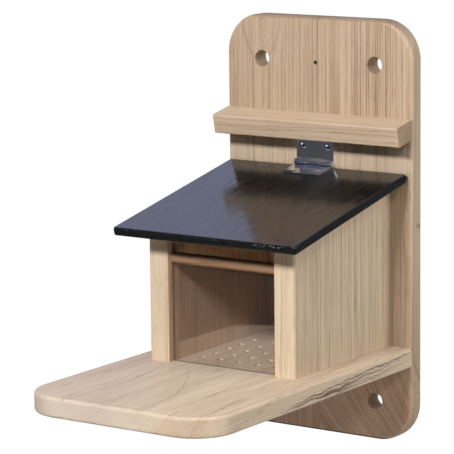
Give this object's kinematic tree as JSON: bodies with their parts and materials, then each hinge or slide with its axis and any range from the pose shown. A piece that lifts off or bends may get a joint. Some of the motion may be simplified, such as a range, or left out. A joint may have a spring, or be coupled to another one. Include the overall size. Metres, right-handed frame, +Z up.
{
  "type": "wall-hung animal feeding station",
  "caption": "Wooden feeding station that hangs on a wall or a tree: backboard, long platform with drain holes, food box with a clear front, crossbar and a hinged lid.",
  "frame": {"origin": "middle of the four fixing holes, on the back face of the backboard, where it meets the wall", "axes": "+X to the right as seen from the front, +Y into the wall, +Z up; the front of the station looks along -Y"},
  "size_m": [0.2, 0.341, 0.388],
  "materials": {
    "oak": "planed light oak, unvarnished",
    "oak_dowel": "red-brown turned hardwood",
    "black_lid": "black gloss paint on wood",
    "zinc_steel": "zinc plated, dull",
    "screw_steel": "zinc plated, bright",
    "acrylic": "clear acrylic sheet"
  },
  "bodies": {
    "station": {"backboard_left": "oak", "backboard_right": "oak", "ledge": "oak", "side_left": "oak", "side_right": "oak", "platform": "oak", "window": "acrylic", "dowel": "oak_dowel", "hinge_leaf_wall": "zinc_steel", "hinge_pin": "zinc_steel", "hinge_screws_wall": "screw_steel", "ledge_screws": "screw_steel", "rear_screws": "screw_steel", "base_screws": "screw_steel"},
    "lid": {"lid": "black_lid", "hinge_leaf_lid": "zinc_steel", "hinge_screws_lid": "screw_steel"}
  },
  "joints": [
    {"name": "lid_hinge", "type": "hinge", "parent": "station", "child": "lid", "pos_m": [0, -0.0213, 0.0626], "axis": [-1, 0, 0], "range_deg": [0, 68.2]}
  ]
}
